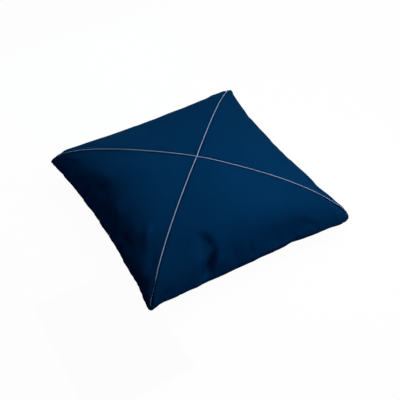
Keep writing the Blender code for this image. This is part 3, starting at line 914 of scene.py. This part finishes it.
def painted_seam_shade_and_puckers_group():
    """Beside a piped seam: a painted shade along its crease, and small puckers pulled in by its
    stitches.
    """
    tree, given, out = named_group(
        "painted_seam_shade_and_puckers",
        (
            ("Seam place", "NodeSocketVector", None),
            ("Painted shade width", "NodeSocketFloat", 0.0044),
            ("Pucker width", "NodeSocketFloat", 0.007),
            ("Stitches per metre", "NodeSocketFloat", 150.0),
        ),
        (("Shade", "NodeSocketFloat"), ("Pucker", "NodeSocketFloat")),
    )
    parts = tree.nodes.new("ShaderNodeSeparateXYZ")
    tree.links.new(given.outputs["Seam place"], parts.inputs[0])
    off_seam, along_seam = parts.outputs["X"], parts.outputs["Y"]
    # The first of these masks is painted shade along the seam's crease; the second only places the
    # puckers.
    fading = []
    for width in ("Painted shade width", "Pucker width"):
        ratio = math_node(tree, "DIVIDE", off_seam, given.outputs[width])
        squared = math_node(tree, "MULTIPLY", ratio, ratio)
        fading.append(math_node(tree, "EXPONENT", math_node(tree, "MULTIPLY", squared, -1.0)))
    painted_crease_shade, near_stitches = fading
    counted = tree.nodes.new("ShaderNodeCombineXYZ")
    stitches = math_node(tree, "MULTIPLY", along_seam, given.outputs["Stitches per metre"])
    tree.links.new(stitches, counted.inputs["X"])
    uneven = noise_node(tree, counted.outputs[0], scale=1.0, detail=1.0, roughness=0.5)
    pucker = math_node(tree, "MULTIPLY", uneven, near_stitches)
    tree.links.new(painted_crease_shade, out.inputs["Shade"])
    tree.links.new(pucker, out.inputs["Pucker"])
    return tree


def mapped_place(tree, name):
    """Place on one of the mesh's UV maps, which hold metres."""
    node = tree.nodes.new("ShaderNodeUVMap")
    node.uv_map = name
    return node.outputs[0]


def placed_effect(tree, group, settings, label, source):
    """Puts a shared effect in a material, with its own settings, and returns its outputs."""
    node = tree.nodes.new("ShaderNodeGroup")
    node.node_tree = group
    for setting, value in settings.items():
        node.inputs[setting].default_value = value
    tree.links.new(source, node.inputs[label])
    return node.outputs


def cloth_colour(tree, look, woven, worn):
    """Two near shades in patches and streaks, then the weft's threads, then lint."""
    patches = math_node(tree, "MULTIPLY", worn["Patches"], PATCH_SHARE)
    streaks = math_node(tree, "MULTIPLY", woven["Streaks"], 1 - PATCH_SHARE)
    ramp = tree.nodes.new("ShaderNodeValToRGB")
    shades = (look["shade_colour"], look["light_colour"])
    for element, position, shade in zip(ramp.color_ramp.elements, SHADE_ENDS, shades):
        element.position = position
        element.color = shade
    tree.links.new(math_node(tree, "ADD", patches, streaks), ramp.inputs[0])
    weft = math_node(tree, "MULTIPLY", woven["Weft"], look["weft_share"])
    lint = math_node(tree, "MULTIPLY", worn["Lint"], look["lint_share"])
    threads = tinted(tree, weft, ramp.outputs["Color"], look["weft_colour"])
    return tinted(tree, lint, threads, look["lint_colour"])


def cloth_finish(name, weave, wear, look, seam_shade_and_puckers=None):
    """Cloth with woven relief, from its place on the flat panel, pulled in at piped seams, with a
    painted shade beside them.
    """
    finish = bpy.data.materials.new(name)
    finish.use_nodes = True
    tree = finish.node_tree
    shader = tree.nodes["Principled BSDF"]
    turned = tree.nodes.new("ShaderNodeVectorRotate")
    turned.rotation_type = "Z_AXIS"
    turned.inputs["Angle"].default_value = look["grain_angle"]
    tree.links.new(mapped_place(tree, "ClothPlace"), turned.inputs["Vector"])
    position = tree.nodes.new("ShaderNodeTexCoord").outputs["Object"]
    threads = {"Threads per metre": look["threads"]}
    woven = placed_effect(tree, weave, threads, "Place", turned.outputs[0])
    patches = {"Patch size": look["patch_size"]}
    worn = placed_effect(tree, wear, patches, "Position", position)

    colour = cloth_colour(tree, look, woven, worn)
    slub = math_node(tree, "MULTIPLY", woven["Streaks"], look["slub"])
    height = math_node(tree, "ADD", woven["Height"], slub)
    if seam_shade_and_puckers:
        at_seam = placed_effect(tree, seam_shade_and_puckers, {}, "Seam place", mapped_place(tree, "SeamPlace"))
        # Painted shade: beside the piped seams the colour is darkened towards a dark navy, in place
        # of the crease's shadow.
        shade = math_node(tree, "MULTIPLY", at_seam["Shade"], look["painted_crease_shade_share"])
        colour = tinted(tree, shade, colour, look["painted_crease_shade_colour"])
        pucker = math_node(tree, "MULTIPLY", at_seam["Pucker"], look["pucker"])
        height = math_node(tree, "ADD", height, pucker)
    tree.links.new(colour, shader.inputs["Base Color"])

    rough = tree.nodes.new("ShaderNodeMapRange")
    rough.inputs["To Min"].default_value = look["roughness"] - ROUGHNESS_SPREAD
    rough.inputs["To Max"].default_value = look["roughness"] + ROUGHNESS_SPREAD
    tree.links.new(worn["Patches"], rough.inputs["Value"])
    tree.links.new(rough.outputs[0], shader.inputs["Roughness"])

    relief = tree.nodes.new("ShaderNodeBump")
    relief.inputs["Strength"].default_value = look["relief_strength"]
    relief.inputs["Distance"].default_value = look["relief"]
    tree.links.new(height, relief.inputs["Height"])
    tree.links.new(relief.outputs[0], shader.inputs["Normal"])
    shader.inputs["Specular IOR Level"].default_value = look["shine"]
    shader.inputs["Specular Tint"].default_value = look["shine_tint"]
    shader.inputs["Sheen Weight"].default_value = look["sheen"]
    shader.inputs["Sheen Roughness"].default_value = look["sheen_roughness"]
    shader.inputs["Sheen Tint"].default_value = look["sheen_tint"]
    return finish


# The studio. Azimuths and elevations are in degrees, and azimuth 0 is square to the front side.

Softbox = namedtuple("Softbox", "name azimuth elevation distance size watts colour")
SOFTBOXES = (
    Softbox("main", 45, 60, 0.75, 0.5, 2.76, (1.0, 1.0, 0.93)),
    Softbox("right_back", 120, 40, 2.4, 1.4, 18.1, (1.0, 1.0, 0.80)),
    Softbox("overhead", 0, 90, 0.75, 0.5, 0.80, (0.6, 0.74, 1.0)),
    Softbox("low_back", 180, 20, 0.75, 0.5, 0.86, (0.2, 0.82, 1.0)),
    Softbox("front_right", 30, 40, 0.75, 0.5, 0.30, (0.6, 0.55, 1.0)),
)
BOUNCE = 0.36
BOUNCE_COLOUR = (0.5, 0.66, 1.0, 1)
FLOOR_SIZE = (8.0, 8.0)
FLOOR_TONE = 0.04
FLOOR_ROUGHNESS = 0.9
FLOOR_GLOW = 0.97
DARK_CARD_SIZE = (0.21, 0.28)
DARK_CARD_PLACE = (-0.325, -0.23, 0.002)


def way_to(azimuth, elevation):
    """Direction from the cushion to the camera or a light."""
    azimuth = math.radians(azimuth)
    elevation = math.radians(elevation)
    return Vector((
        math.sin(azimuth) * math.cos(elevation),
        -math.cos(azimuth) * math.cos(elevation),
        math.sin(elevation),
    ))


def add_camera():
    back = way_to(CAMERA_AZIMUTH, CAMERA_ELEVATION)
    data = bpy.data.cameras.new("camera")
    data.sensor_width = SENSOR_WIDTH
    data.lens = FOCAL_PIXELS / FRAME_PIXELS * SENSOR_WIDTH
    camera = bpy.data.objects.new("camera", data)
    camera.location = CAMERA_AIM + back * CAMERA_DISTANCE
    camera.rotation_mode = "QUATERNION"
    camera.rotation_quaternion = (-back).to_track_quat("-Z", "Y")
    bpy.context.scene.collection.objects.link(camera)
    bpy.context.scene.camera = camera


def add_softbox(box):
    """A square soft light, aimed at the cushion."""
    way = way_to(box.azimuth, box.elevation)
    data = bpy.data.lights.new(box.name, "AREA")
    data.shape = "SQUARE"
    data.size = box.size
    data.energy = box.watts
    data.color = box.colour
    light = bpy.data.objects.new(box.name, data)
    light.location = Vector((0, 0, SEAM_HEIGHT)) + way * box.distance
    light.rotation_mode = "QUATERNION"
    light.rotation_quaternion = way.to_track_quat("Z", "Y")
    light.visible_camera = False
    bpy.context.scene.collection.objects.link(light)


def flat_sheet(name, finish_name, size, tone):
    """A level rectangle with a plain matt finish, and the finish's shader."""
    across, along = size[0] / 2, size[1] / 2
    corners = [(-across, -along, 0), (across, -along, 0), (across, along, 0), (-across, along, 0)]
    mesh = bpy.data.meshes.new(name)
    mesh.from_pydata(corners, [], [(0, 1, 2, 3)])
    finish = bpy.data.materials.new(finish_name)
    finish.use_nodes = True
    shader = finish.node_tree.nodes["Principled BSDF"]
    shader.inputs["Base Color"].default_value = (tone, tone, tone, 1)
    shader.inputs["Specular IOR Level"].default_value = 0.0
    mesh.materials.append(finish)
    sheet = bpy.data.objects.new(name, mesh)
    bpy.context.scene.collection.objects.link(sheet)
    return sheet, shader


def add_floor():
    """A plain white floor, bright enough to hide its shadows."""
    floor, shader = flat_sheet("floor", "white_floor", FLOOR_SIZE, FLOOR_TONE)
    shader.inputs["Roughness"].default_value = FLOOR_ROUGHNESS
    shader.inputs["Emission Color"].default_value = (1, 1, 1, 1)
    shader.inputs["Emission Strength"].default_value = FLOOR_GLOW
    floor.visible_diffuse = False
    floor.visible_glossy = False


def add_dark_card():
    """A black card lying by the near left corner, which keeps the floor's light from its cloth."""
    card, _ = flat_sheet("dark_card", "black_card", DARK_CARD_SIZE, 0)
    card.location = DARK_CARD_PLACE
    card.visible_camera = False


def add_surround():
    """White all round for the camera. For the cloth, the floor's light from below the horizon."""
    world = bpy.data.worlds.new("studio")
    world.use_nodes = True
    tree = world.node_tree
    background = tree.nodes["Background"]
    background.inputs["Color"].default_value = BOUNCE_COLOUR
    direction = tree.nodes.new("ShaderNodeTexCoord")
    parts = tree.nodes.new("ShaderNodeSeparateXYZ")
    tree.links.new(direction.outputs["Generated"], parts.inputs[0])
    below = math_node(tree, "LESS_THAN", parts.outputs["Z"], 0.0)
    tree.links.new(math_node(tree, "MULTIPLY", below, BOUNCE), background.inputs["Strength"])
    seen = tree.nodes.new("ShaderNodeBackground")
    seen.inputs["Color"].default_value = (1, 1, 1, 1)
    path = tree.nodes.new("ShaderNodeLightPath")
    either = tree.nodes.new("ShaderNodeMixShader")
    tree.links.new(path.outputs["Is Camera Ray"], either.inputs["Fac"])
    tree.links.new(background.outputs[0], either.inputs[1])
    tree.links.new(seen.outputs[0], either.inputs[2])
    tree.links.new(either.outputs[0], tree.nodes["World Output"].inputs["Surface"])
    bpy.context.scene.world = world


def add_studio():
    bpy.context.scene.view_settings.view_transform = "Standard"
    for box in SOFTBOXES:
        add_softbox(box)
    add_floor()
    add_dark_card()
    add_surround()
    add_camera()


def main():
    rows, sides, t, panel_t, radii = cover_grid()
    normals = grid_normals(rows)
    pressed = rows - normals * pressed_depth(rows, sides, t, panel_t, radii)[:, :, None]
    pressed[:, :, 2] = np.maximum(pressed[:, :, 2], 0)
    middle = (pressed.min(axis=(0, 1)) + pressed.max(axis=(0, 1))) / 2
    to_middle = np.array((middle[0], middle[1], 0))
    top = np.array((*CROWN_SHIFT, SEAM_HEIGHT + CROWN))
    crown = top - np.array((0, 0, CHANNEL_DEPTH + CROSSING_DIP)) - to_middle
    rest = np.zeros(3)

    weave = sateen_weave_group()
    wear = soft_wear_group()
    navy = cloth_finish("navy_sateen", weave, wear, NAVY_LOOK, painted_seam_shade_and_puckers_group())
    mauve = cloth_finish("mauve_piping_cloth", weave, wear, MAUVE_LOOK)

    mesh = cover_mesh(crown, pressed - to_middle, rest)
    add_places(mesh, "ClothPlace", *cloth_places(rows))
    add_places(mesh, "SeamPlace", *seam_places(rows, panel_t, radii))
    cover = add_piece("cushion_cover", mesh, navy)
    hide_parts("cushion")

    for name, path, blunt_start in piping_paths(rows, normals, top, to_middle):
        mesh = piping_mesh(name, path, blunt_start)
        cord = add_piece(name + "_cord", mesh, mauve)
        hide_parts(name)

    add_studio()


main()
